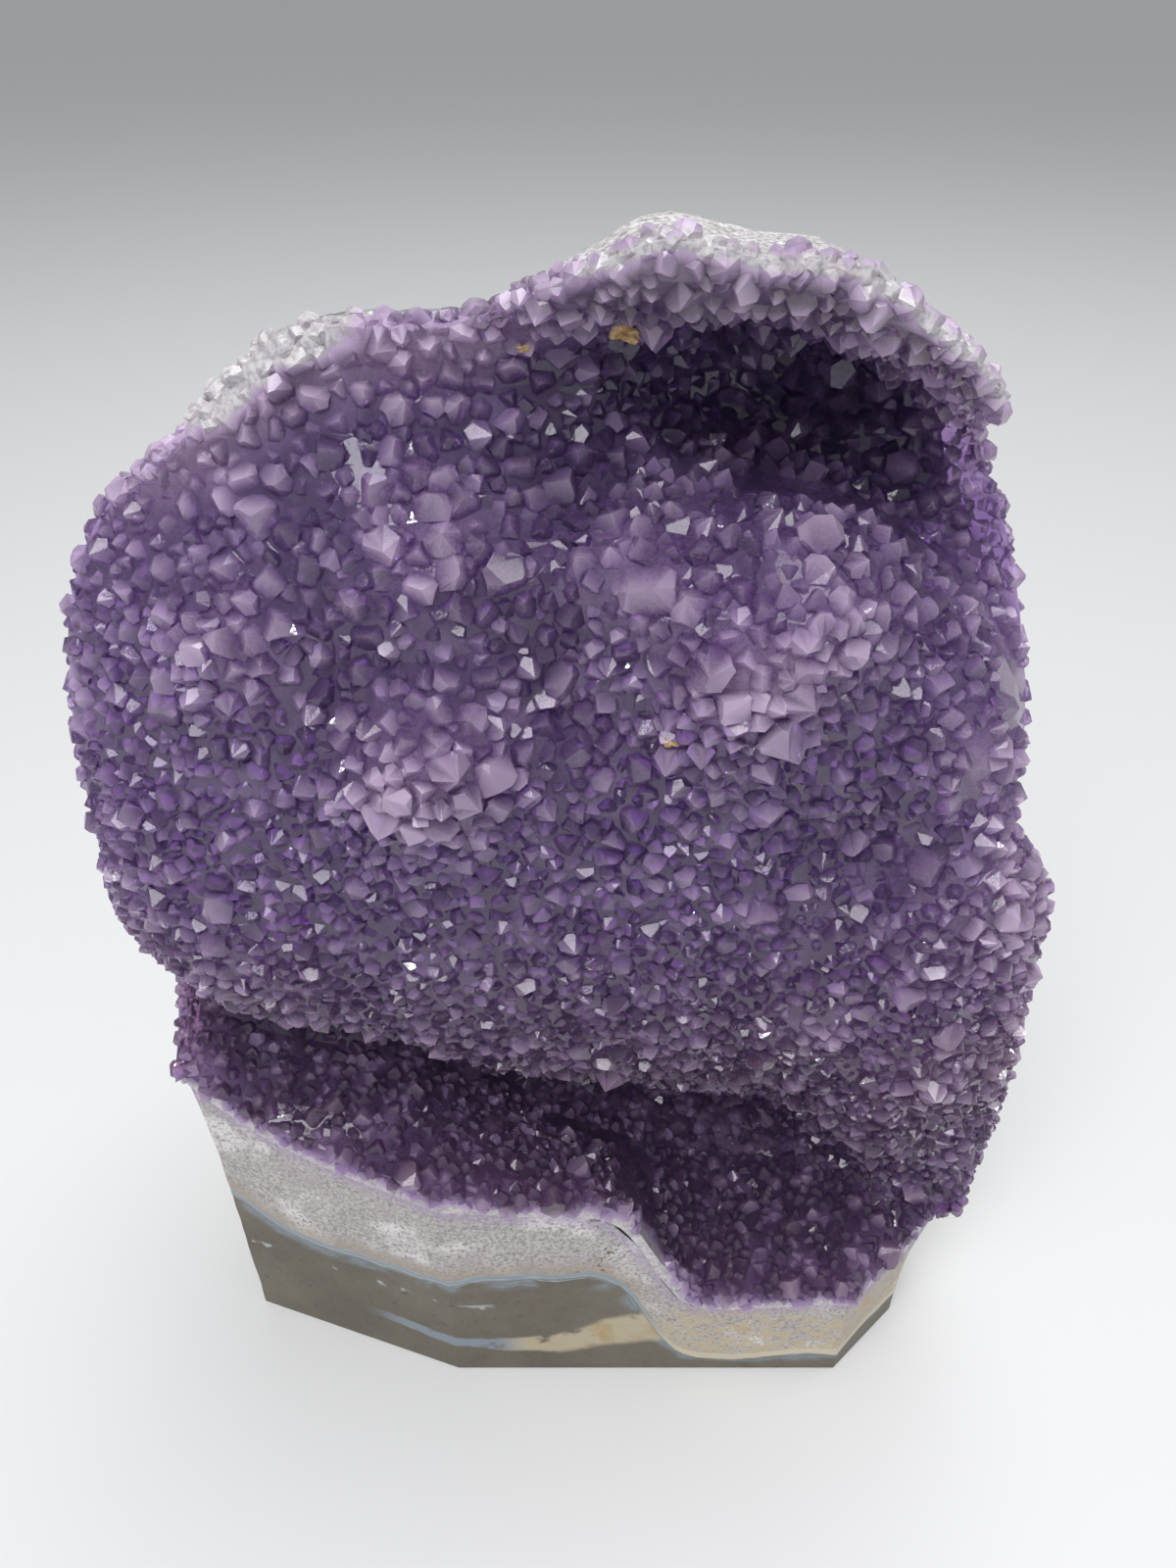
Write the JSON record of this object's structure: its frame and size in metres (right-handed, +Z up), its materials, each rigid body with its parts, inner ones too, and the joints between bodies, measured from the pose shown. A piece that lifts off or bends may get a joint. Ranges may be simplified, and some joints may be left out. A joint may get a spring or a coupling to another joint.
{
  "type": "amethyst geode",
  "caption": "Upright slab of an amethyst geode on a sawn base, with its crystal-lined face open to the front.",
  "frame": {"origin": "middle of the sawn base, under the middle of the bounding box", "axes": "+Z up along the tallest extent, -Y to the front, towards which the crystals face, +X to the right seen from the front"},
  "size_m": [0.1682, 0.1128, 0.2305],
  "materials": {
    "basalt": "grey-brown basalt, rough behind and polished on the sawn faces",
    "agate": "blue-grey banded agate, polished on the sawn face",
    "white_quartz": "sugary white quartz",
    "amethyst": "clear violet crystals with bright faces"
  },
  "bodies": {
    "root": {"basalt_matrix": "basalt", "agate_band": "agate", "quartz_band": "white_quartz", "amethyst_crust": "amethyst"}
  },
  "joints": []
}
